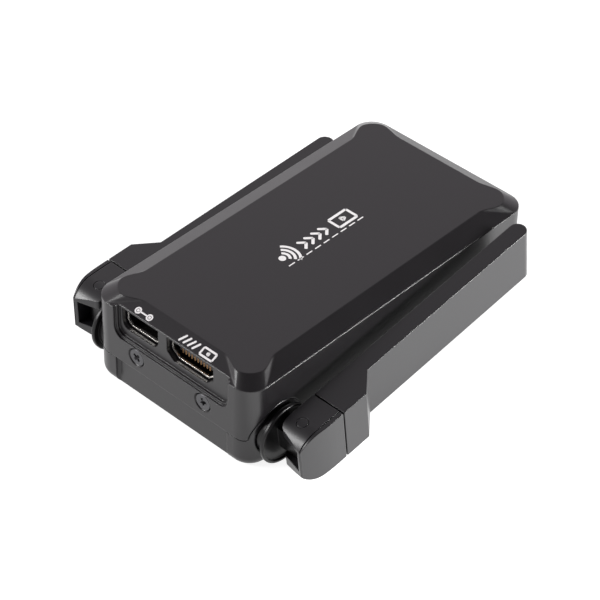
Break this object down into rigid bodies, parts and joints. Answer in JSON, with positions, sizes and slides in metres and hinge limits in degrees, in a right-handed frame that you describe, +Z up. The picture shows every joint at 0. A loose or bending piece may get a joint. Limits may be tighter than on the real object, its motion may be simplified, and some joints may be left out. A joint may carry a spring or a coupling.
{
  "type": "wireless video unit",
  "caption": "Pocket wireless video unit: chamfered two-shell housing, recessed port bay at one end, and a swivelling, fold-out flat antenna on each side.",
  "frame": {"origin": "centre of the underside of the bounding box, on the face that the unit rests on", "axes": "+Z up out of the flat top, +Y along the housing away from the ports, +X across towards the right antenna"},
  "size_m": [0.08, 0.1006, 0.0271],
  "materials": {
    "housing_plastic": "charcoal, fine satin moulding grain",
    "antenna_plastic": "charcoal, satin, fine moulding grain",
    "swivel_plastic": "black, smooth satin",
    "black_screw": "black zinc, satin",
    "plate_metal": "dark anodised, bead blasted",
    "bush_metal": "turned",
    "bright_steel": "plain, fine brushed",
    "port_metal": "bright tin plate",
    "video_core_plastic": "black moulding",
    "control_core_plastic": "light grey moulding",
    "circuit_board": "green solder mask",
    "chip_resin": "moulded black resin",
    "pad_rubber": "soft silicone",
    "spreader_metal": "rolled sheet",
    "button_rubber": "soft matt",
    "light_pipe": "clear, slightly milky",
    "lead_jacket": "thin coaxial jacket"
  },
  "bodies": {
    "housing": {"top_cover": "housing_plastic", "base_frame": "housing_plastic", "front_screws": "black_screw", "mount_plate": "plate_metal", "plate_screws": "black_screw", "mount_bush": "bush_metal", "main_board": "circuit_board", "radio_board": "circuit_board", "board_spacers": "bush_metal", "board_screws": "bright_steel", "radio_shields": "bright_steel", "radio_chips": "chip_resin", "processor_chips": "chip_resin", "thermal_pad": "pad_rubber", "heat_spreader": "spreader_metal", "video_port_shell": "port_metal", "video_port_core": "video_core_plastic", "control_port_shell": "port_metal", "control_port_core": "control_core_plastic", "link_switch": "chip_resin", "status_lights": "light_pipe", "lead_plugs": "bush_metal", "right_antenna_lead": "lead_jacket", "left_antenna_lead": "lead_jacket", "right_friction_washer": "bright_steel", "left_friction_washer": "bright_steel"},
    "link_button": {"link_button": "button_rubber"},
    "right_swivel": {"right_swivel_disc": "swivel_plastic", "right_retaining_nut": "bush_metal"},
    "right_antenna": {"right_knuckle": "antenna_plastic", "right_knuckle_cap": "antenna_plastic", "right_hinge_pin": "bright_steel", "right_pin_plugs": "antenna_plastic", "right_root_studs": "bright_steel", "right_blade_shell": "antenna_plastic", "right_blade_lid": "antenna_plastic", "right_radiator_board": "circuit_board"},
    "left_swivel": {"left_swivel_disc": "swivel_plastic", "left_retaining_nut": "bush_metal"},
    "left_antenna": {"left_knuckle": "antenna_plastic", "left_knuckle_cap": "antenna_plastic", "left_hinge_pin": "bright_steel", "left_pin_plugs": "antenna_plastic", "left_root_studs": "bright_steel", "left_blade_shell": "antenna_plastic", "left_blade_lid": "antenna_plastic", "left_radiator_board": "circuit_board"}
  },
  "joints": [
    {"name": "link_button_press", "type": "slide", "parent": "housing", "child": "link_button", "axis": [0, -1, 0], "range_m": [0, 0.0006], "stiffness_N_per_m": 1500},
    {"name": "right_swivel_turn", "type": "hinge", "parent": "housing", "child": "right_swivel", "pos_m": [0.0275, -0.0408, 0.00875], "axis": [1, 0, 0], "range_deg": [-7.5, 172.5]},
    {"name": "right_fold_out", "type": "hinge", "parent": "right_swivel", "child": "right_antenna", "pos_m": [0.0345, -0.0403, 0.00881], "axis": [0, 0.1305, -0.9914], "range_deg": [0, 90]},
    {"name": "left_swivel_turn", "type": "hinge", "parent": "housing", "child": "left_swivel", "pos_m": [-0.0275, -0.0408, 0.00875], "axis": [1, 0, 0], "range_deg": [-1.5, 178.5]},
    {"name": "left_fold_out", "type": "hinge", "parent": "left_swivel", "child": "left_antenna", "pos_m": [-0.0345, -0.0403, 0.00876], "axis": [0, -0.0262, 0.9997], "range_deg": [0, 90]}
  ]
}
